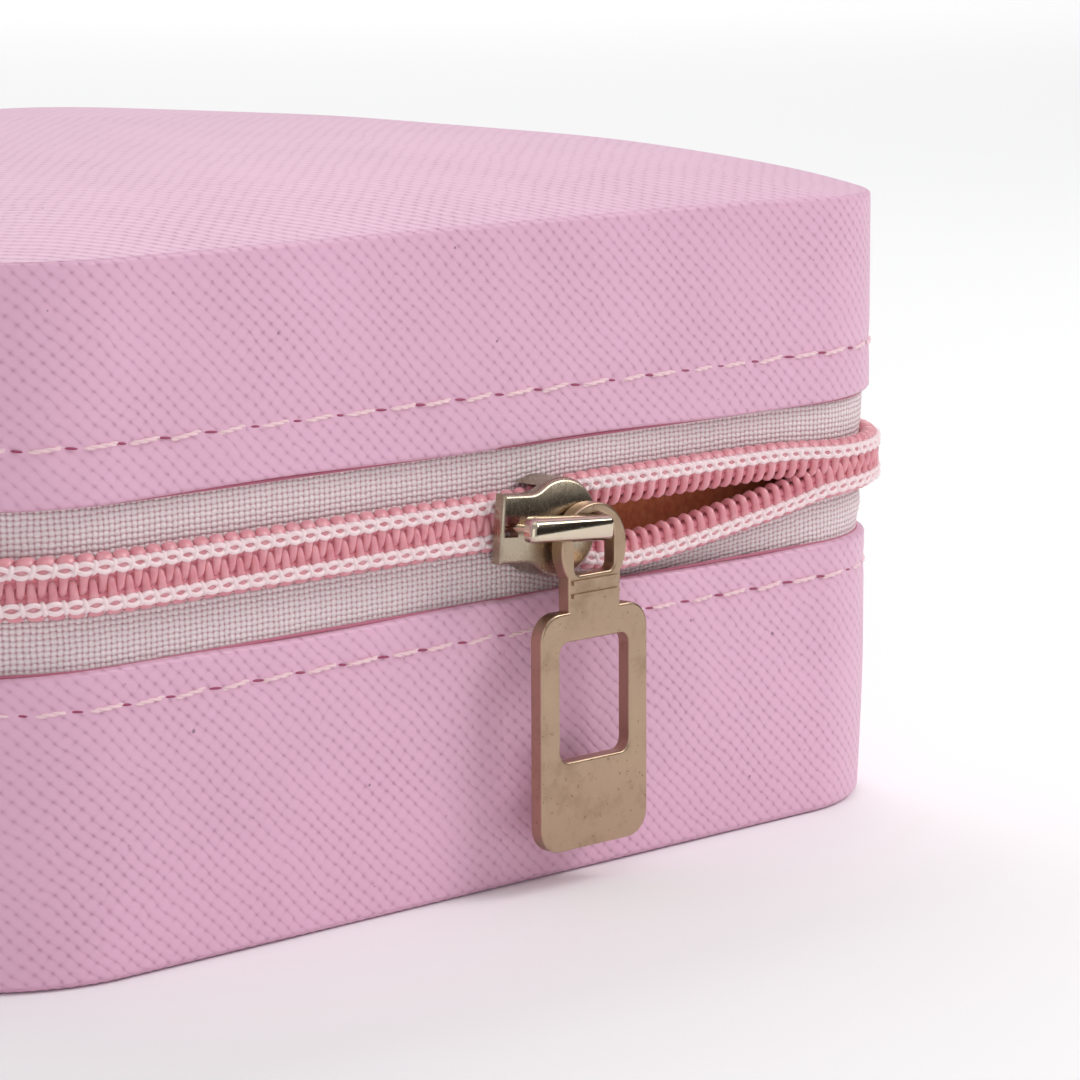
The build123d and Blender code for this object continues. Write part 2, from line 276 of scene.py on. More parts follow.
def make_weave(name, light, dark, pitch_x, pitch_y, depth):
    """Plain woven cloth: over and under yarns, with painted shade in the gaps between them; pitches in the
    uv's millimetres.
    """
    s = Shader(name)
    uv = s.uv()
    x, y, _ = s.split(s.drift(uv, 0.8, YARN_DRIFT))
    x = s.math("DIVIDE", x, pitch_x)
    y = s.math("DIVIDE", y, pitch_y)
    upright = yarn_height(s, x, y, 1.0)
    level = s.math("SUBTRACT", yarn_height(s, y, x, -1.0), LEVEL_YARN_DROP)
    height = s.math("MAXIMUM", upright, level)
    fibre = s.noise(uv, 9.0, 3.0, 0.7)
    # Painted shade: the low places between the yarns take the dark colour, the yarns' tops the light one.
    tone = s.mix(s.ramp(height, -0.1, 0.7), dark, light)
    tone = s.mix(s.math("MULTIPLY", fibre, 0.3), tone, dark)
    normal = s.bump(s.math("MULTIPLY_ADD", fibre, 0.25, height), 1.0, depth)
    return s.set(Base_Color=tone, Normal=normal, Roughness=0.85, Sheen_Weight=0.25, Sheen_Roughness=0.5)


def yarn_height(s, across, along, sign):
    """Height of one set of yarns in a plain weave: round across, rising and dipping along."""
    index = s.math("FLOOR", across)
    offset = s.math("SUBTRACT", s.math("SUBTRACT", across, index), 0.5)
    arch = s.math("SUBTRACT", 1.0, s.math("POWER", s.math("ABSOLUTE", s.math("MULTIPLY", offset, 2.1)), 2.0))
    phase = s.math("MULTIPLY", s.math("ADD", s.math("SUBTRACT", along, 0.5), index), math.pi)
    return s.math("MULTIPLY_ADD", s.math("COSINE", phase), 0.5 * sign, s.math("MULTIPLY", arch, 0.6))


def make_velvet(name, base, dark):
    """Short-pile velvet: soft sheen, a fine nap and faint brushed patches."""
    s = Shader(name)
    place = s.place()
    patch = s.noise(place, 60.0, 2.0)
    nap = s.noise(place, 2600.0, 3.0, 0.7)
    tone = s.mix(s.ramp(patch, 0.35, 0.7), base, dark)
    tone = s.mix(s.math("MULTIPLY", nap, 0.35), tone, dark)
    normal = s.bump(nap, 0.5, 0.15 * MM)
    return s.set(Base_Color=tone, Normal=normal, Roughness=0.9, Sheen_Weight=0.6, Sheen_Roughness=0.35)


def make_thread(name, base, dark, scale=2400.0):
    """Spun sewing thread."""
    s = Shader(name)
    fibre = s.noise(s.place(), scale, 3.0, 0.7)
    tone = s.mix(s.math("MULTIPLY", fibre, 0.4), base, dark)
    normal = s.bump(fibre, 0.5, 0.05 * MM)
    return s.set(Base_Color=tone, Normal=normal, Roughness=0.6, Sheen_Weight=0.2)


def make_nylon(name, base, deep):
    """The coil's nylon: glossy, slightly see-through, deeper pink in small random patches."""
    s = Shader(name)
    cloud = s.noise(s.place(), 900.0, 2.0)
    tone = s.mix(s.ramp(cloud, 0.35, 0.7), base, deep)
    normal = s.bump(s.noise(s.place(), 5000.0, 2.0), 0.15, 0.03 * MM)
    return s.set(
        Base_Color=tone,
        Normal=normal,
        Roughness=0.34,
        Subsurface_Weight=0.45,
        Subsurface_Radius=(1.0, 0.5, 0.5),
        Subsurface_Scale=0.6 * MM,
        Coat_Weight=0.12,
        Coat_Roughness=0.2,
    )


SCUFF_TILT = (0.0, 0.9, 0.0)
SCUFF_SCALE = (4200.0, 4200.0, 1700.0)
PIT = colour(96, 74, 54)


def make_metal(name, base, worn, rough, crown=None):
    """Warm nickel plate with fine scuffs, faint stains and small pits.

    crown is the (middle z, half height, rise) of a plate that was pressed to a slight curve.
    """
    s = Shader(name)
    place = s.place()
    stain = s.noise(place, 380.0, 5.0, 0.7)
    stretch = s.node("ShaderNodeMapping")
    s.link(place, stretch.inputs["Vector"])
    stretch.inputs["Rotation"].default_value = SCUFF_TILT
    stretch.inputs["Scale"].default_value = SCUFF_SCALE
    scuff = s.noise(stretch.outputs[0], 1.0, 3.0, 0.6)
    speck = s.ramp(s.noise(place, 3200.0, 1.0), 0.71, 0.76)
    tone = s.mix(s.math("MULTIPLY", s.ramp(stain, 0.5, 0.8), 0.6), base, worn)
    tone = s.mix(s.math("MULTIPLY", speck, 0.5), tone, PIT)
    roughness = s.math("MULTIPLY_ADD", scuff, 0.5 * rough, s.math("MULTIPLY_ADD", stain, rough, 0.4 * rough))
    normal = s.bump(s.math("SUBTRACT", s.math("MULTIPLY", scuff, 0.25), speck), 0.3, 0.02 * MM)
    if crown is not None:
        middle, half, depth = crown
        _, _, z = s.split(place)
        reach = s.math("DIVIDE", s.math("SUBTRACT", z, middle), half)
        arch = s.math("MULTIPLY", s.math("MULTIPLY", reach, reach), -1.0)
        normal = s.bump(arch, 1.0, depth, normal)
    return s.set(Base_Color=tone, Metallic=1.0, Roughness=roughness, Normal=normal)


def make_board(name, base, dark):
    """Raw pressed grey board."""
    s = Shader(name)
    fleck = s.noise(s.place(), 1500.0, 5.0, 0.7)
    tone = s.mix(s.ramp(fleck, 0.35, 0.7), dark, base)
    return s.set(Base_Color=tone, Normal=s.bump(fleck, 0.4, 0.1 * MM), Roughness=0.9)


def make_floor_material():
    s = Shader("studio_floor")
    cloud = s.noise(s.place(), 1.5, 2.0)
    tone = s.mix(cloud, colour(252, 252, 252), colour(254, 254, 254))
    return s.set(Base_Color=tone, Roughness=0.75, Specular_IOR_Level=0.2)


SLIDER_CROWN = (ZIP_Z - 0.3 * MM, 3.0 * MM, 0.65 * MM)
BRIDGE_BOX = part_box("slider_bridge")
BRIDGE_CROWN = ((BRIDGE_BOX[0].z + BRIDGE_BOX[1].z) / 2 - 0.1 * MM, 1.0 * MM, 0.3 * MM)
LEATHER_PINK = colour(230, 180, 206)
# The groove colour is painted shade for the leather's grooves and pits.
LEATHER_GROOVE_SHADE = colour(172, 98, 136)
materials = {
    "leather": make_leather("pink_leather", LEATHER_PINK, LEATHER_GROOVE_SHADE),
    "tape": make_weave("zip_tape_weave", colour(255, 247, 248), colour(208, 134, 148), 0.5, 0.42, 0.2 * MM),
    "coil": make_nylon("coil_nylon", colour(232, 164, 172), colour(218, 142, 152)),
    "core": make_thread("coil_core", colour(220, 134, 146), colour(200, 112, 126)),
    # A dark thread material for the painted shadow line under the leather edges.
    "tape_edge_shadow": make_thread("edge_shadow_line", colour(196, 112, 136), colour(150, 66, 96)),
    "coil_thread": make_thread("coil_thread", colour(250, 230, 232), colour(230, 188, 194)),
    "stitch": make_thread("stitch_thread", colour(246, 214, 219), colour(222, 172, 184)),
    # The dark tubes in the needle holes are painted shade.
    "hole": make_thread("needle_hole_shade", colour(166, 62, 102), colour(112, 32, 64)),
    "metal": make_metal("nickel_satin", colour(184, 158, 134), colour(146, 118, 94), 0.3),
    "slider": make_metal("nickel_plate", colour(176, 162, 142), colour(128, 110, 90), 0.24, SLIDER_CROWN),
    "bridge": make_metal("nickel_bright", colour(212, 198, 178), colour(164, 144, 120), 0.13, BRIDGE_CROWN),
    "collar": make_board("collar_card", colour(246, 154, 112), colour(216, 116, 78)),
    "velvet": make_velvet("lining_velvet", colour(206, 150, 160), colour(170, 112, 124)),
    "roll_velvet": make_velvet("roll_velvet", colour(214, 160, 170), colour(178, 120, 132)),
    "pocket": make_weave("pocket_cloth", colour(226, 178, 188), colour(188, 134, 146), 0.4, 0.4, 0.06 * MM),
    "pocket_hem": make_velvet("pocket_hem_cloth", colour(222, 170, 182), colour(190, 132, 146)),
    "board": make_board("grey_board", colour(186, 180, 172), colour(140, 134, 126)),
}


# ---- mesh building ----
def quarter_turned(x, y, quarter):
    """Plan points turned by that many right angles."""
    c, s = np.cos(quarter * math.pi / 2), np.sin(quarter * math.pi / 2)
    return np.stack([x * c - y * s, x * s + y * c], -1)


def outline(along, out):
    """Points and outward normals of the case's plan; along grows from the front's middle towards +X."""
    along, out = np.broadcast_arrays(np.asarray(along, float), np.asarray(out, float))
    side = 2 * STRAIGHT + CORNER * math.pi / 2
    shifted = np.mod(along + STRAIGHT, PERIMETER)
    quarter = np.floor(shifted / side)
    rest = shifted - quarter * side
    turn = np.clip((rest - 2 * STRAIGHT) / CORNER, 0, None)
    x = np.minimum(rest, 2 * STRAIGHT) - STRAIGHT + (CORNER + out) * np.sin(turn)
    y = -STRAIGHT - (CORNER + out) * np.cos(turn)
    return quarter_turned(x, y, quarter), quarter_turned(np.sin(turn), -np.cos(turn), quarter)


def outward(along):
    """3-D unit vectors straight out of the case."""
    _, normal = outline(along, 0)
    return np.concatenate([normal, 0 * along[:, None]], 1)


def sideways(along):
    """3-D unit vectors along the case's outline."""
    _, normal = outline(along, 0)
    return np.stack([-normal[:, 1], normal[:, 0], 0 * along], 1)


def on_case(along, out, z):
    """3-D points at that arc length, distance out from the leather's face, and height."""
    plan, _ = outline(along, out)
    z = np.broadcast_to(z, plan.shape[:-1])
    return np.concatenate([plan, z[..., None]], -1)


def add_object(name, points, faces, material):
    """A new object in the scene, from points and faces of any size."""
    mesh = bpy.data.meshes.new(name)
    mesh.from_pydata(np.asarray(points, float).reshape(-1, 3).tolist(), [], faces)
    mesh.materials.append(material)
    made = bpy.data.objects.new(name, mesh)
    bpy.context.scene.collection.objects.link(made)
    return made


def new_piece(name, points, faces, material, uv=None):
    """A smooth piece; uv holds one pair per face corner, in millimetres."""
    piece = add_object(name, points, faces, materials[material])
    mesh = piece.data
    if uv is not None:
        layer = mesh.uv_layers.new(name="mm")
        layer.data.foreach_set("uv", np.asarray(uv, np.float32).ravel())
    mesh.polygons.foreach_set("use_smooth", np.full(len(mesh.polygons), True))
    mesh.update()
    return piece


def grid_faces(rows, columns, wrap_rows, wrap_columns, first=0):
    """Quads of a grid of points numbered row by row."""
    index = np.arange(rows * columns).reshape(rows, columns) + first
    if wrap_rows:
        index = np.concatenate([index, index[:1]], 0)
    if wrap_columns:
        index = np.concatenate([index, index[:, :1]], 1)
    quads = np.stack([index[:-1, :-1], index[:-1, 1:], index[1:, 1:], index[1:, :-1]], -1)
    return quads.reshape(-1, 4)


def grid_uv(u, v):
    """Loop coordinates for grid_faces, from the coordinates of its column and row lines."""
    uu, vv = np.meshgrid(u, v)
    both = np.stack([uu, vv], -1)
    corners = np.stack([both[:-1, :-1], both[:-1, 1:], both[1:, 1:], both[1:, :-1]], 2)
    return corners.reshape(-1, 2)


def band_piece(name, profile, column_step, shape, material):
    """A closed band round the whole case: profile is a closed loop of (out, z), which shape then moves."""
    columns = int(round(PERIMETER / column_step))
    along = np.arange(columns) * PERIMETER / columns
    out, z = np.asarray(profile, float).T
    grid_along = np.broadcast_to(along, (len(out), columns))
    grid_out, grid_z = shape(grid_along, out[:, None] + 0 * along, z[:, None] + 0 * along)
    points = on_case(grid_along, grid_out, grid_z)
    loop = np.append(0, np.cumsum(np.hypot(np.diff(np.append(out, out[0])), np.diff(np.append(z, z[0])))))
    height = np.append(z, z[0]) if name.endswith("side") else loop
    faces = grid_faces(len(out), columns, True, True).tolist()
    uv = grid_uv(np.append(along, PERIMETER) / MM, height / MM)
    return new_piece(name, points, faces, material, uv)


def tube(path, reference, radius, sides, depth=None):
    """Rings of points round a path: radius towards the reference, and depth square to it, if it differs."""
    tangent = np.gradient(path, axis=0)
    tangent /= np.linalg.norm(tangent, axis=1)[:, None]
    first = reference - (reference * tangent).sum(1)[:, None] * tangent
    first /= np.linalg.norm(first, axis=1)[:, None]
    second = np.cross(tangent, first)
    angle = np.arange(sides) * 2 * math.pi / sides
    radius = np.broadcast_to(radius, len(path))
    depth = radius if depth is None else np.broadcast_to(depth, len(path))
    wide = (radius[:, None] * np.cos(angle))[..., None] * first[:, None]
    deep = (depth[:, None] * np.sin(angle))[..., None] * second[:, None]
    return path[:, None] + wide + deep


def tube_caps(rows, sides, first=0):
    """The two end faces of a tube of rows rings, whose points are numbered from first."""
    last = first + (rows - 1) * sides
    return [list(range(first, first + sides)), list(range(last + sides - 1, last - 1, -1))]


def sheet_caps(rows, columns):
    """The two end faces of a closed loop of rows, at its first and last column."""
    first = [row * columns for row in range(rows)]
    return [first, [point + columns - 1 for point in reversed(first)]]


def tube_piece(name, paths, material):
    """One piece of closed tubes; each path is (points, reference, radius, sides)."""
    points, quads, caps, count = [], [], [], 0
    for path, reference, radius, sides in paths:
        rings = tube(path, reference, radius, sides)
        points.append(rings.reshape(-1, 3))
        quads.append(grid_faces(len(path), sides, False, True, count))
        caps.append(tube_caps(len(path), sides, count))
        count += len(path) * sides
    faces = np.concatenate(quads).tolist() + [cap for pair in caps for cap in pair]
    return new_piece(name, np.concatenate(points), faces, material)


def face_outwards(piece):
    """Makes a closed piece's faces point out of it."""
    edit = bmesh.new()
    edit.from_mesh(piece.data)
    bmesh.ops.recalc_face_normals(edit, faces=edit.faces)
    edit.to_mesh(piece.data)
    edit.free()
    return piece


def finish_piece(piece, body, slot, *nodes):
    """Puts a piece on its body, and in the place of the CAD nodes it shows; slot is not used."""
    face_outwards(piece)
    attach(piece, body)
    if nodes:
        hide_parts(*nodes)


# ---- leather bands ----
STITCH_COUNT = 95
STITCH_PITCH = PERIMETER / STITCH_COUNT
LID_STITCH_Z = LID_EDGE_Z + 4.0 * MM
BASE_STITCH_Z = BASE_EDGE_Z - 2.6 * MM


QUILT_REACH = 0.9 * MM
QUILT_DEPTH = 0.07 * MM
HOLE_DEPTH = 0.1 * MM


def quilting(along, z, stitch_z):
    """How far the leather is pulled in by a row of stitches, most of all at their holes."""
    beside = np.exp(-(((z - stitch_z) / QUILT_REACH) ** 2))
    hole = 0.5 + 0.5 * np.cos(2 * math.pi * along / STITCH_PITCH)
    return beside * (QUILT_DEPTH + HOLE_DEPTH * hole**3)


def slow_waves(along, z, size):
    """Gentle unevenness of leather stretched over board."""
    a = 2 * math.pi * along / PERIMETER
    return size * (np.sin(9 * a + 40 * z) + 0.6 * np.sin(17 * a + 1.7) + 0.4 * np.sin(31 * a - 70 * z + 0.6))


def turned_edge(edge_z, into):
    """The top of a leather edge that is folded over; into is 1 or -1, towards the leather's own side."""
    steps = ((-LEATHER, 0.12 * MM), (-0.45 * MM, 0.0), (-0.12 * MM, 0.1 * MM))
    return [(out, edge_z + into * step) for out, step in steps]


BASE_LEATHER_FOOT_Z = 0.42 * MM
BASE_SET_BACK = 0.5 * MM
BASE_LEAN = 0.4 * MM
BASE_LEAN_HEIGHT = 12 * MM
BASE_INSIDE = -1.1 * MM
EDGE_WAVE = 0.12 * MM
EDGE_WAVE_HEIGHT = 2 * MM
BAND_STEP = 0.45 * MM


def base_lean(z):
    """How far out the base's face is at that height: it leans in a little towards the foot."""
    return -BASE_LEAN * np.clip(1 - z / BASE_LEAN_HEIGHT, 0, 1) ** 1.5


def make_base_side():
    """The base's leather: a turned top edge, a flat face that leans in a little, and a crisp foot."""
    foot_z = BASE_LEATHER_FOOT_Z
    face_z = np.concatenate(
        [
            np.linspace(BASE_EDGE_Z - 0.3 * MM, BASE_STITCH_Z - 1.6 * MM, 13),
            np.linspace(BASE_STITCH_Z - 2.4 * MM, foot_z + 0.35 * MM, 22),
        ]
    )
    profile = turned_edge(BASE_EDGE_Z, -1)
    profile += [(base_lean(z), z) for z in face_z]
    foot = base_lean(foot_z)
    profile += [(foot - 0.03 * MM, foot_z + 0.12 * MM), (foot - 0.12 * MM, foot_z)]
    profile += [(BASE_INSIDE, foot_z), (BASE_INSIDE, FOOT_Z + 0.5 * MM)]
    profile += [(-LEATHER, z) for z in np.linspace(2 * MM, BASE_EDGE_Z - 0.12 * MM, 6)[:-1]]

    def shape(along, out, z):
        front = np.clip((out + LEATHER) / LEATHER, 0, 1)
        wave = slow_waves(along, z, 0.05 * MM)
        near_edge = np.clip((z - BASE_EDGE_Z + EDGE_WAVE_HEIGHT) / EDGE_WAVE_HEIGHT, 0, 1)
        edge = EDGE_WAVE * np.sin(along / (5.3 * MM)) * near_edge
        set_back = BASE_SET_BACK * right_side(along)
        return out - set_back + front * (wave - quilting(along, z, BASE_STITCH_Z)), z + edge

    piece = band_piece("base_leather_side", profile, BAND_STEP, shape, "leather")
    finish_piece(piece, "base", "leather_cover", "base_band")


# The bottom cover's edge, from its hidden top to the underside: (out, z) in millimetres.
FOOT_TOP_MM = ((-4.0, 0.9), (-1.2, 0.9), (-0.6, 0.5), (-0.66, 0.3))
FOOT_UNDERSIDE_MM = ((-0.8, 0.12), (-1.0, 0.03), (-1.6, 0.0), (-4.0, 0.0))
FOOT_STEP = 0.24 * MM
FOOT_RAGGED = 0.06 * MM
FOOT_RAGGED_PITCH = 0.95 * MM
FOOT_SET_BACK = 0.8 * BASE_SET_BACK


def make_foot():
    """The bottom cover: a thin slanted edge with an uneven lower line, and the flat underside."""
    out, z = np.array(FOOT_TOP_MM + FOOT_UNDERSIDE_MM).T * MM
    columns = int(round(PERIMETER / FOOT_STEP))
    along = np.arange(columns) * PERIMETER / columns
    ragged = FOOT_RAGGED * np.abs(np.sin(math.pi * along / FOOT_RAGGED_PITCH))
    low_edge = ((out > -1.3 * MM) & (z < 0.2 * MM))[:, None]
    set_back = FOOT_SET_BACK * right_side(along)
    points = on_case(along[None], out[:, None] - set_back, z[:, None] + low_edge * ragged)
    flat = points.reshape(-1, 3)
    faces = grid_faces(len(out), columns, False, True).tolist() + tube_caps(len(out), columns)
    uv = flat[[v for face in faces for v in face], :2] / MM
    piece = new_piece("base_foot_cover", flat, faces, "leather", uv)
    finish_piece(piece, "base", "leather_cover", "base_bottom_cover")


def make_lid_side():
    """The lid's leather side, from its turned lower edge to the crease under the padded top."""
    face_z = np.concatenate(
        [
            np.linspace(LID_EDGE_Z + 0.3 * MM, LID_STITCH_Z + 1.6 * MM, 14),
            np.linspace(LID_STITCH_Z + 2.4 * MM, RIM_Z - 0.35 * MM, 16),
        ]
    )
    profile = turned_edge(LID_EDGE_Z, 1)
    profile += [(0.0, z) for z in face_z]
    profile += [(-0.03 * MM, RIM_Z - 0.1 * MM), (-0.16 * MM, RIM_Z), (-LEATHER, RIM_Z - 0.05 * MM)]
    profile += [(-LEATHER, z) for z in np.linspace(RIM_Z - 0.05 * MM, LID_EDGE_Z + 0.12 * MM, 6)[1:-1]]

    def shape(along, out, z):
        front = np.clip((out + LEATHER) / LEATHER, 0, 1)
        wave = slow_waves(along + 20 * MM, z, 0.045 * MM)
        near_edge = np.clip((LID_EDGE_Z + EDGE_WAVE_HEIGHT - z) / EDGE_WAVE_HEIGHT, 0, 1)
        edge = EDGE_WAVE * np.sin(along / (6.1 * MM)) * near_edge
        plan, _ = outline(along, 0)
        edge = edge - rim_dip(plan[..., 0], plan[..., 1]) * np.clip((z - RIM_Z + 6 * MM) / (6 * MM), 0, 1)
        return out + front * (wave - quilting(along, z, LID_STITCH_Z)), z + edge

    piece = band_piece("lid_leather_side", profile, BAND_STEP, shape, "leather")
    finish_piece(piece, "lid", "leather_cover", "lid_band")


# ---- padded top ----
DOME_RISE = 5.27 * MM
DOME_SOFTNESS = 16.6 * MM
DOME_CROWN = 0.7 * MM
DENT_DEPTH = 0.14 * MM
DENT_FADE = 6 * MM
RIM_DIP = 0.5 * MM
RIM_DIP_REACH = 5 * MM
CORNER_FILL = 0.25 * MM
CORNER_FILL_REACH = 8 * MM
NEAR_CORNER_REACH = 13 * MM


def near_corner(x, y):
    """1 at the front right corner, falling to 0 over the length of a corner's curve."""
    from_side = (x - 0.9 * HALF) / NEAR_CORNER_REACH
    from_front = (y + 0.9 * HALF) / NEAR_CORNER_REACH
    return np.exp(-(from_side**2) - (from_front**2))


def rim_dip(x, y):
    """The rim sits a little lower at the front right corner."""
    return RIM_DIP * near_corner(x, y)


def ring_plan(share, half, corner):
    """Points of a rounded square of that half width and corner radius, at shares of the way round."""
    straight = half - corner
    side = 2 * straight + corner * math.pi / 2
    shifted = np.mod(share * 4, 4)
    quarter = np.floor(shifted)
    rest = (shifted - quarter) * side
    turn = np.clip((rest - 2 * straight) / corner, 0, None)
    x = np.minimum(rest, 2 * straight) - straight + corner * np.sin(turn)
    y = -straight - corner * np.cos(turn)
    return quarter_turned(x, y, quarter)


def make_lid_top():
    """The crowned top: leather over foam, closed below, with a crease all round and faint hand marks."""
    columns = 720
    share = np.arange(columns) / columns
    insets = np.concatenate([[0.16, 0.3, 0.6, 1.0], np.linspace(1.6, 49.2, 84)]) * MM
    rings, heights = [], []
    for inset in insets:
        half = HALF - inset
        ratio = CORNER / HALF + 0.6 * inset / HALF
        plan = ring_plan(share, half, half * min(ratio, 0.97))
        x, y = plan[:, 0], plan[:, 1]
        rise = DOME_RISE * (1 - math.exp(-inset / DOME_SOFTNESS))
        rise += DOME_CROWN * (1 - (x / HALF) ** 2) * (1 - (y / HALF) ** 2)
        rise -= rim_dip(x, y) * math.exp(-inset / RIM_DIP_REACH)
        inwards = inset / CORNER_FILL_REACH
        rise += CORNER_FILL * near_corner(x, y) * inwards * math.exp(1 - inwards)
        fade = 1 - math.exp(-inset / DENT_FADE)
        dents = np.sin(x * 95 + 1.3) * np.sin(y * 80 - 0.4) + 0.5 * np.sin(x * 210 - y * 160 + 2.0)
        rings.append(plan)
        heights.append(RIM_Z + rise + DENT_DEPTH * fade * dents - 0.02 * MM)
    low_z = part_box("lid_foam")[0].z
    rings = [rings[0] * 0.985, rings[0]] + rings
    edge = ring_plan(share, HALF, CORNER)
    dip = rim_dip(edge[:, 0], edge[:, 1])
    heights = [np.full(columns, low_z), RIM_Z - 0.3 * MM - dip] + heights
    points = np.concatenate([np.concatenate([r, h[:, None]], 1) for r, h in zip(rings, heights)])
    faces = grid_faces(len(rings), columns, False, True).tolist() + tube_caps(len(rings), columns)
    uv = points[[v for face in faces for v in face], :2] / MM
    piece = new_piece("lid_padded_top", points, faces, "leather", uv)
    finish_piece(piece, "lid", "leather_cover", "lid_cover", "lid_foam")


# ---- zip ----
def sag_at(x, y):
    """The lower coil's drop below the meeting line, only along the front."""
    dense = np.linspace(SAG_X[0], SAG_X[-1], 400)
    values = np.interp(dense, SAG_X, SAG_Z)
    kernel = np.hanning(31)
    smooth = np.convolve(np.pad(values, 15, mode="edge"), kernel / kernel.sum(), mode="valid")
    return np.interp(x, dense, smooth) * (y < -STRAIGHT)


OPEN_FROM, OPEN_TO = 4.5 * MM, 34 * MM
OPEN_SPREAD = 0.62 * MM


def zip_half(upper):
    """The name of that half of the zip, and the body that carries it."""
    return ("upper", "lid") if upper else ("lower", "base")


def logistic(t):
    return 1 / (1 + np.exp(-t))


def coil_drop(x, y, upper):
    """How far a coil sits below its closed height; an open upper coil springs up a little."""
    opened = logistic((x - OPEN_FROM) / (1.0 * MM)) - logistic((x - OPEN_TO) / (2.0 * MM))
    spread = OPEN_SPREAD * opened * (y < 0)
    return -spread if upper else sag_at(x, y) + spread


def soft_step(t):
    t = np.clip(t, 0, 1)
    return t * t * (3 - 2 * t)


def right_side(along):
    """1 on the case's right side, 0 on its front, left and back, smooth between."""
    _, normal = outline(along, 0)
    return soft_step(normal[..., 0])


TAPE_COLUMNS = 700
TAPE_ROWS = 22
TAPE_EDGE_GAP = 0.35 * MM
TAPE_BUCKLE = 0.16 * MM
TAPE_BUCKLE_LENGTH = 4.7 * MM
TAPE_SLACK = 0.35 * MM
SIDE_TAPE_BULGE = 0.6 * MM
# The lower tape goes in with the set-back leather, fully by the leather's edge.
TUCK_FROM_Z = BASE_EDGE_Z + 2.3 * MM
TUCK_HEIGHT = 1.9 * MM


def make_tape(upper):
    """A woven tape, tucked under the leather edge and ending behind the coil."""
    edge_z = ZIP_Z + TAPE_EDGE_GAP if upper else ZIP_Z - TAPE_EDGE_GAP
    far_z = TAPE_HIGH_Z if upper else TAPE_LOW_Z
    along = np.linspace(-ZIP_HALF_LENGTH, ZIP_HALF_LENGTH, TAPE_COLUMNS)
    share = np.concatenate([np.linspace(0, 1, TAPE_ROWS), np.linspace(1, 0, TAPE_ROWS)])
    out = np.concatenate([np.full(TAPE_ROWS, TAPE_OUT), np.full(TAPE_ROWS, TAPE_IN)])
    plan, _ = outline(along, TAPE_OUT)
    drop = coil_drop(plan[:, 0], plan[:, 1], upper)
    z = far_z + (edge_z - drop[None] - far_z) * share[:, None]
    swell = np.sin(math.pi * share)[:, None]
    buckle = 0.5 * TAPE_BUCKLE * np.sin(along / TAPE_BUCKLE_LENGTH) * swell
    slack = TAPE_SLACK * (drop / max(SAG_Z))[None] * swell**2
    right = right_side(along)[None]
    tucked = 0 if upper else BASE_SET_BACK * right * soft_step((TUCK_FROM_Z - z) / TUCK_HEIGHT)
    bulged = out[:, None] + buckle - slack + SIDE_TAPE_BULGE * right * swell
    points = on_case(along[None], bulged - tucked, z)
    rows = len(share)
    faces = grid_faces(rows, TAPE_COLUMNS, True, False).tolist() + sheet_caps(rows, TAPE_COLUMNS)
    length = np.append(share, share[0]) * abs(edge_z - far_z) / MM
    uv = np.concatenate([grid_uv(along / MM, length), np.zeros((2 * rows, 2))])
    half, body = zip_half(upper)
    piece = new_piece(half + "_tape", points, faces, "tape", uv)
    finish_piece(piece, body, "zip_tape", "zip_tape_" + half)


# Distances in a coil are across, away from the zip's meeting line, and out, from the tape.
COIL_PITCH_CLOSED = 1.4 * MM
COIL_PITCH_OPEN = 1.24 * MM
CLOSE_TURNS_FROM, CLOSE_TURNS_TO = 3 * MM, 42 * MM
COIL_WIRE = 0.33 * MM
COIL_WIRE_DEPTH = 0.3 * MM
COIL_SPREAD = 0.88
COIL_MIDDLE = 0.73 * MM
COIL_REACH = 1.2 * MM
COIL_OUT = 0.98 * MM
COIL_OUT_REACH = 0.58 * MM
COIL_WIDE_FROM = 0.98 * MM
COIL_WIDE_OVER = 0.14 * MM
# The cords inside a coil: (across, radius, out), in millimetres.
CORE_CORDS_MM = ((0.3, 0.42, 1.06), (0.86, 0.48, 1.12), (1.45, 0.42, 1.1))
THREAD_TURN = 0.12
THREAD_ACROSS = 1.27 * MM
THREAD_SWING = 0.34 * MM
THREAD_RADIUS = 0.2 * MM
UPRIGHT_HALF = 0.36 * MM
UPRIGHT_RADIUS = 0.23 * MM


def coil_turns(upper, steps):
    """Turn counts along a coil, and the arc length of each; turns sit closer where the zip is open."""
    fine = np.linspace(-ZIP_HALF_LENGTH, ZIP_HALF_LENGTH, 4000)
    opened = logistic((fine - CLOSE_TURNS_FROM) / (1.5 * MM)) - logistic((fine - CLOSE_TURNS_TO) / (3 * MM))
    pitch = COIL_PITCH_CLOSED + (COIL_PITCH_OPEN - COIL_PITCH_CLOSED) * opened
    turns = np.concatenate([[0], np.cumsum(np.diff(fine) / pitch[1:])])
    first = 0.0 if upper else 0.5
    phase = np.arange(int(turns[-1] - 0.6) * steps) / steps
    return phase, lambda turn: np.interp(turn + first, turns, fine)


def chain_points(along, across, out, upper):
    """3-D points beside the meeting line: across is away from it, towards the coil's own tape."""
    plan, normal = outline(along, TAPE_OUT)
    drop = coil_drop(plan[:, 0], plan[:, 1], upper)
    side = 1 if upper else -1
    xy = plan + normal * out[:, None]
    return np.concatenate([xy, (ZIP_Z + CHAIN_LIFT - drop + side * across)[:, None]], 1)


def soft_power(value, power):
    return np.sign(value) * np.abs(value) ** power


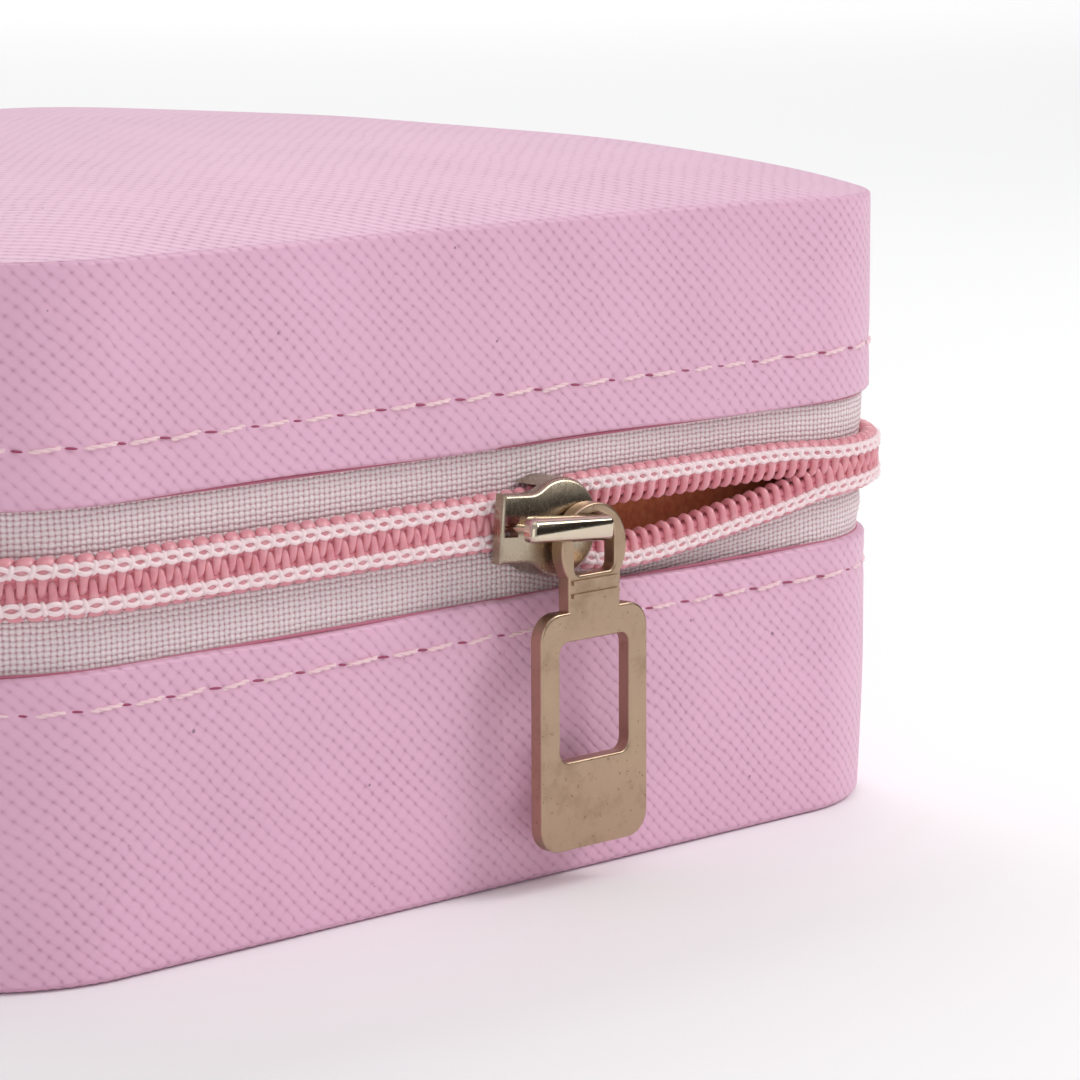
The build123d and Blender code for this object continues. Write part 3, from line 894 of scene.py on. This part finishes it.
def make_coil(upper):
    """One continuous nylon coil: flattened turns whose heads reach over the meeting line."""
    steps, sides = 22, 8
    phase, place_of = coil_turns(upper, steps)
    angle = 2 * math.pi * phase
    along = place_of(phase - 0.16 * np.sin(angle - 0.4))
    across = COIL_MIDDLE - COIL_REACH * soft_power(np.cos(angle), 0.7)
    out = COIL_OUT + COIL_OUT_REACH * soft_power(np.sin(angle), 0.8)
    path = chain_points(along, across, out, upper)
    widen = logistic((across - COIL_WIDE_FROM) / COIL_WIDE_OVER)
    front = 0.75 + 0.25 * np.clip(np.sin(angle) * 3, -1, 1)
    half_along = COIL_WIRE * (1 + COIL_SPREAD * widen * front)
    rings = tube(path, sideways(along), half_along, sides, COIL_WIRE_DEPTH)
    faces = grid_faces(len(path), sides, False, True).tolist() + tube_caps(len(path), sides)
    half, body = zip_half(upper)
    piece = new_piece(half + "_coil", rings, faces, "coil")
    finish_piece(piece, body, "zip_coil", "zip_coil_" + half)


def make_coil_thread(upper):
    """The thread that sews a coil down: two cords that cross in every groove, and an upright over each."""
    phase, place_of = coil_turns(upper, 10)
    along = place_of(phase + THREAD_TURN)
    swing = np.cos(math.pi * phase)
    paths = []
    for sign in (1, -1):
        across = THREAD_ACROSS + THREAD_SWING * sign * soft_power(swing, 0.8)
        out = (1.62 + 0.2 * np.abs(swing) + 0.06 * sign * np.sin(math.pi * phase)) * MM
        paths.append((chain_points(along, across, out, upper), outward(along), THREAD_RADIUS, 6))
    t = np.linspace(-1, 1, 7)
    for turn in range(int(phase[-1])):
        along = place_of(turn + THREAD_TURN + 0.5 + 0.07 * t)
        out = (1.78 - 0.25 * t**4) * MM
        path = chain_points(along, THREAD_ACROSS + UPRIGHT_HALF * t, out, upper)
        paths.append((path, sideways(along), UPRIGHT_RADIUS, 6))
    half, body = zip_half(upper)
    finish_piece(tube_piece(half + "_coil_thread", paths, "coil_thread"), body, "zip_coil")


def make_coil_core(upper):
    """The cords inside a coil, which fill the spaces between its turns."""
    along = np.linspace(-ZIP_HALF_LENGTH + 0.5 * MM, ZIP_HALF_LENGTH - 0.5 * MM, 900)
    level = np.ones(len(along)) * MM
    paths = []
    for across, radius, out in CORE_CORDS_MM:
        path = chain_points(along, across * level, out * level, upper)
        paths.append((path, outward(along), radius * MM, 8))
    half, body = zip_half(upper)
    finish_piece(tube_piece(half + "_coil_core", paths, "core"), body, "zip_coil")


# A dark cord along each leather edge, painted as the shadow line there.
EDGE_SHADOW_GAP = 0.02 * MM
EDGE_SHADOW_OUT = -0.62 * MM
EDGE_SHADOW_RADIUS = 0.14 * MM


def make_edge_shadow_lines():
    """A thin dark cord along each leather edge, where the tape goes in under it: a painted shadow line."""
    along = np.linspace(-ZIP_HALF_LENGTH, ZIP_HALF_LENGTH, 900)
    for body, z in (("lid", LID_EDGE_Z - EDGE_SHADOW_GAP), ("base", BASE_EDGE_Z + EDGE_SHADOW_GAP)):
        set_back = BASE_SET_BACK * right_side(along) * (body == "base")
        path = on_case(along, EDGE_SHADOW_OUT - set_back, np.full(len(along), z))
        tape_edge_shadow = tube_piece(body + "_edge_shadow_line", [(path, outward(along), EDGE_SHADOW_RADIUS, 6)], "tape_edge_shadow")
        finish_piece(tape_edge_shadow, body, "zip_tape")


# ---- stitching ----
# Half lengths, the stitches' slant and the offset of a thread's two plies from its middle.
STITCH_REACH_MM = 1.38
STITCH_TILT_MM = 0.13
PLY_OFFSET = 0.07 * MM
PLY_RADIUS = 0.118 * MM
PLY_TWIST = 5.0
SLIT_REACH_MM = 0.52
SLIT_SLANT = 0.05 * MM
SLIT_RADIUS = 0.1 * MM
SLIT_OUT = -0.135 * MM


def stitch_strands(index, middle, reach, tilt, stitch_z, set_back):
    """The two plies of one stitch, whose ends go down into the leather."""
    t = np.linspace(-1, 1, 15)
    along = middle + reach * t
    lift = (-0.02 - 0.25 * t**4) * MM
    thick = PLY_RADIUS * (1 - 0.25 * t**6)
    strands = []
    for ply in (0, math.pi):
        twist = ply + PLY_TWIST * t + 0.4 * index
        out = lift + PLY_OFFSET * np.sin(twist) - set_back * right_side(along)
        z = stitch_z + tilt * t + PLY_OFFSET * np.cos(twist)
        strands.append((on_case(along, out, z), outward(along), thick, 7))
    return strands


def needle_slit_shade(hole, reach, stitch_z, set_back):
    """A dark tube in the needle slit between two stitches, tapered to both ends: painted shade inside the
    hole.
    """
    t = np.linspace(-1, 1, 9)
    along = hole + reach * t
    path = on_case(along, SLIT_OUT - set_back * right_side(along), stitch_z - SLIT_SLANT * t)
    thick = SLIT_RADIUS * np.sqrt(np.clip(1.02 - t**2, 0.02, None))
    return (path, outward(along), thick, 7)


def make_stitches(body, stitch_z, set_back):
    """A row of saddle stitches, each a little tilted, and painted shade in the slits between them."""
    chance = np.random.default_rng(SEED)
    strands, slit_shades = [], []
    for index in range(STITCH_COUNT):
        middle = (index + 0.5 + 0.06 * chance.standard_normal()) * STITCH_PITCH
        reach = (STITCH_REACH_MM + 0.1 * chance.standard_normal()) * MM
        tilt = (STITCH_TILT_MM + 0.05 * chance.standard_normal()) * MM
        strands += stitch_strands(index, middle, reach, tilt, stitch_z, set_back)
        hole = index * STITCH_PITCH + 0.1 * MM * chance.standard_normal()
        reach = (SLIT_REACH_MM + 0.08 * chance.standard_normal()) * MM
        slit_shades.append(needle_slit_shade(hole, reach, stitch_z, set_back))
    finish_piece(tube_piece(body + "_stitches", strands, "stitch"), body, "leather_cover")
    finish_piece(tube_piece(body + "_stitch_hole_shades", slit_shades, "hole"), body, "leather_cover")


# ---- back hinge ----
HINGE_FOLD = 0.12 * MM
HINGE_FOLD_PITCH = 2.3 * MM
HINGE_FOLD_REACH = 4 * MM


def make_hinge_strip():
    """The flexible strip across the back, between the base and the lid, with small folds across its middle.
    """
    low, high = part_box("hinge_strip")
    rows, columns = 56, 90
    z = np.linspace(low.z, high.z, rows)
    x = np.linspace(low.x, high.x, columns)
    from_middle = z - ZIP_Z
    fade = np.exp(-((from_middle / HINGE_FOLD_REACH) ** 2))
    fold = HINGE_FOLD * np.cos(2 * math.pi * from_middle / HINGE_FOLD_PITCH) * fade
    outer = np.stack(np.meshgrid(x, z), -1)
    face = np.concatenate([outer, np.broadcast_to(high.y + fold[:, None], (rows, columns))[..., None]], -1)
    back = np.concatenate([outer, np.full((rows, columns, 1), low.y)], -1)[::-1]
    points = np.concatenate([face, back])[..., [0, 2, 1]]
    v = np.concatenate([z, z[::-1]]) / MM
    faces = grid_faces(2 * rows, columns, True, False).tolist() + sheet_caps(2 * rows, columns)
    uv = np.concatenate([grid_uv(x / MM, np.append(v, v[0])), np.zeros((4 * rows, 2))])
    piece = face_outwards(new_piece("back_hinge_strip", points, faces, "leather", uv))
    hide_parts("hinge_strip")
    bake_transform(piece)


# ---- inside ----
def make_ring_rolls():
    """Soft rolls with a rounded top, a flatter foot and slightly pinched ends."""
    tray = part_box("tray_floor")[1]
    inner = min(tray.x, tray.y)
    for node in sorted(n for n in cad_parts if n.startswith("ring_roll_")):
        low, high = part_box(node)
        middle = (low + high) / 2
        sides, rows = 36, 40
        angle = np.arange(sides) * 2 * math.pi / sides
        half_y, half_z = (high.y - low.y) / 2, (high.z - low.z) / 2
        profile_y = half_y * soft_power(np.cos(angle), 0.7)
        rise = np.where(np.sin(angle) > 0, 0.75, 0.28)
        profile_z = half_z * soft_power(np.sin(angle), rise)
        along = np.linspace(-1, 1, rows)
        end = (1 - np.abs(along) ** 14) ** 0.5
        x = middle.x + (high.x - low.x) / 2 * along
        pinch = 0.9 + 0.1 * end
        size = pinch * np.clip(end, 0.02, 1) ** 0.25
        y = middle.y + profile_y[None] * size[:, None]
        z = middle.z + profile_z[None] * (0.2 + 0.8 * size[:, None])
        points = np.stack([np.broadcast_to(x[:, None], y.shape), y, z], -1)
        points = keep_inside(points, inner, inner - STRAIGHT)
        faces = grid_faces(rows, sides, False, True).tolist() + tube_caps(rows, sides)
        piece = new_piece("soft_" + node, points, faces, "roll_velvet")
        finish_piece(piece, "base", "ring_roll_velvet", node)


POCKET_GATHER = 5.2 * MM
POCKET_CLOTH = 0.4 * MM
POCKET_PUFF = 2.0 * MM
POCKET_SEWN_IN = 0.45 * MM
POCKET_MOUTH_IN = 0.6 * MM
HEM_RADIUS = 0.62 * MM
# The cloth's half width and its height in the uv's millimetres, before it is gathered.
POCKET_UV_HALF = 52
POCKET_UV_HEIGHT = 41


def make_pocket():
    """The lid's pocket: cloth sewn down on three sides and gathered by elastic along its mouth."""
    low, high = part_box("pocket_panel")
    mouth_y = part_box("pocket_hem")[0].y + POCKET_MOUTH_IN
    rows, columns = 44, 260
    v = np.linspace(0, 1, rows)[:, None]
    u = np.linspace(-1, 1, columns)[None]
    x = (low.x + high.x) / 2 + (high.x - low.x) / 2 * u + 0 * v
    y = mouth_y + (high.y - mouth_y) * v + 0 * u
    lift = np.clip((1 - np.abs(u)) / 0.1, 0, 1) ** 0.5 * np.clip((1 - v) / 0.09, 0, 1) ** 0.5
    folds = np.sin(2 * math.pi * x / POCKET_GATHER + 1.2 * np.sin(5 * u + 3 * v))
    folds += 0.4 * np.sin(2 * math.pi * x / (2.3 * POCKET_GATHER) + 4 * v)
    depth = (0.85 * np.exp(-2.6 * v) + 0.12) * MM
    z = high.z - POCKET_SEWN_IN - POCKET_PUFF * lift + 0.7 * depth * folds * lift
    front = np.stack([x, y, z], -1)
    back = front[::-1] + np.array([0, 0, POCKET_CLOTH])
    points = np.concatenate([front, back])
    faces = grid_faces(2 * rows, columns, True, False).tolist() + sheet_caps(2 * rows, columns)
    down = np.concatenate([v[:, 0], 1 + v[:, 0], [2.0]]) * POCKET_UV_HEIGHT
    uv = np.concatenate([grid_uv(u[0] * POCKET_UV_HALF, down), np.zeros((4 * rows, 2))])
    panel = new_piece("gathered_pocket", points, faces, "pocket", uv)
    edge = front[0] + np.array([0, 0.2 * MM, POCKET_CLOTH / 2])
    reference = np.broadcast_to(np.array([0.0, 1.0, 0.0]), edge.shape)
    hem = tube_piece("pocket_elastic_hem", [(edge, reference, HEM_RADIUS, 10)], "pocket_hem")
    finish_piece(panel, "lid", "pocket_cloth", "pocket_panel")
    finish_piece(hem, "lid", "pocket_cloth", "pocket_hem")


def keep_inside(points, half, corner):
    """Pulls points back to inside a rounded square of that half width and corner radius."""
    xy = points[..., :2]
    straight = half - corner
    over = np.maximum(np.abs(xy) - straight, 0)
    length = np.hypot(over[..., 0], over[..., 1])
    share = np.where(length > corner, corner / np.maximum(length, 1e-9), 1.0)
    kept = np.sign(xy) * (np.minimum(np.abs(xy), straight) + over * share[..., None])
    return np.concatenate([kept, points[..., 2:]], -1)


CAD_LOOKS = {
    "collar": ["inner_collar"],
    "velvet": ["tray_floor", "partition", "divider_guides", "divider_1", "divider_2", "lid_lining"]
    + ["lid_wall_lining", "hook_strip"],
    "metal": ["pull_tab", "hook_1", "hook_2", "hook_3"],
    "slider": ["slider_body"],
    "bridge": ["slider_bridge", "lock_pin"],
    "board": ["base_bottom_board", "base_wall_board", "lid_wall_board", "lid_top_board"],
    "leather": ["base_bottom_cover"],
}
METAL_LOOKS = ("metal", "slider", "bridge")
METAL_EDGE = 0.14 * MM


def dress_cad_nodes():
    """Gives each carried-over CAD node its material, and the metal ones softened edges."""
    for look, nodes in CAD_LOOKS.items():
        for node in nodes:
            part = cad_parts[node]
            for slot in part.material_slots:
                slot.material = materials[look]
            if look in METAL_LOOKS:
                soften_edges(part)


def soften_edges(part):
    bevel = part.modifiers.new("edges", "BEVEL")
    bevel.width = METAL_EDGE
    bevel.segments = 3
    bevel.limit_method = "ANGLE"
    bevel.harden_normals = True


# ---- studio ----
FLOOR_HALF = 6.0
WORLD_COLOUR = (0.94, 0.94, 0.95, 1.0)
WORLD_STRENGTH = 0.44
LIGHTS_AIM = Vector((0, 0, 30)) * MM


def make_floor():
    corners = FLOOR_HALF * np.array([(-1, -1, 0), (1, -1, 0), (1, 1, 0), (-1, 1, 0)])
    floor = add_object("floor", corners, [(0, 1, 2, 3)], make_floor_material())


def make_dark_card(name, azimuth, distance, width, height):
    """A dark flag that only shows in the metal's reflections; azimuths as for the lights."""
    towards = direction(math.radians(azimuth), 0)
    side = Vector((-towards.y, towards.x, 0)) * width / 2
    low, high = Vector((0, 0, 2 * MM)), Vector((0, 0, height))
    middle = towards * distance
    corners = [middle - side + low, middle + side + low, middle + side + high, middle - side + high]
    felt = Shader(name + "_felt")
    tone = felt.mix(felt.noise(felt.place(), 400.0), colour(30, 26, 24), colour(44, 38, 36))
    card = add_object(name, corners, [(0, 1, 2, 3)], felt.set(Base_Color=tone, Roughness=0.95))
    card.visible_camera = False
    card.visible_diffuse = False
    card.visible_shadow = False


def make_world():
    world = bpy.data.worlds.new("studio")
    world.use_nodes = True
    background = world.node_tree.nodes["Background"]
    background.inputs["Color"].default_value = WORLD_COLOUR
    background.inputs["Strength"].default_value = WORLD_STRENGTH
    bpy.context.scene.world = world


def make_light(name, azimuth, elevation, distance, size, power, straight_down=False):
    """A soft square light; azimuth 0 stands in front of the case and 90 at its right."""
    towards = direction(math.radians(azimuth), math.radians(elevation))
    data = bpy.data.lights.new(name, "AREA")
    data.size = size
    data.energy = power
    light = bpy.data.objects.new(name, data)
    bpy.context.scene.collection.objects.link(light)
    light.location = LIGHTS_AIM + towards * distance
    aim = Vector((0, 0, -1)) if straight_down else -towards
    light.rotation_euler = aim.to_track_quat("-Z", "Y").to_euler()


make_camera()
make_base_side()
make_foot()
make_lid_side()
make_lid_top()
for upper in (True, False):
    make_tape(upper)
    make_coil(upper)
    make_coil_core(upper)
    make_coil_thread(upper)
make_edge_shadow_lines()
make_stitches("lid", LID_STITCH_Z, 0.0)
make_stitches("base", BASE_STITCH_Z, BASE_SET_BACK)
make_hinge_strip()
make_ring_rolls()
make_pocket()
dress_cad_nodes()
make_floor()
make_dark_card("right_flag", 48, 0.36, 0.6, 0.22)
make_dark_card("left_flag", -140, 0.3, 0.4, 0.25)
make_world()
# Name, azimuth and elevation in degrees, distance and size in metres, and power in watts.
make_light("key", 48, 38, 0.8, 0.34, 2.5)
make_light("top", 10, 80, 1.0, 0.8, 1.15)
make_light("fill", -45, 16, 1.0, 0.8, 1.6)
make_light("back", 138, 36, 2.4, 1.8, 20.0, straight_down=True)
make_light("rear", 170, 50, 1.0, 0.6, 0.95)
bpy.context.scene.view_settings.view_transform = "Standard"
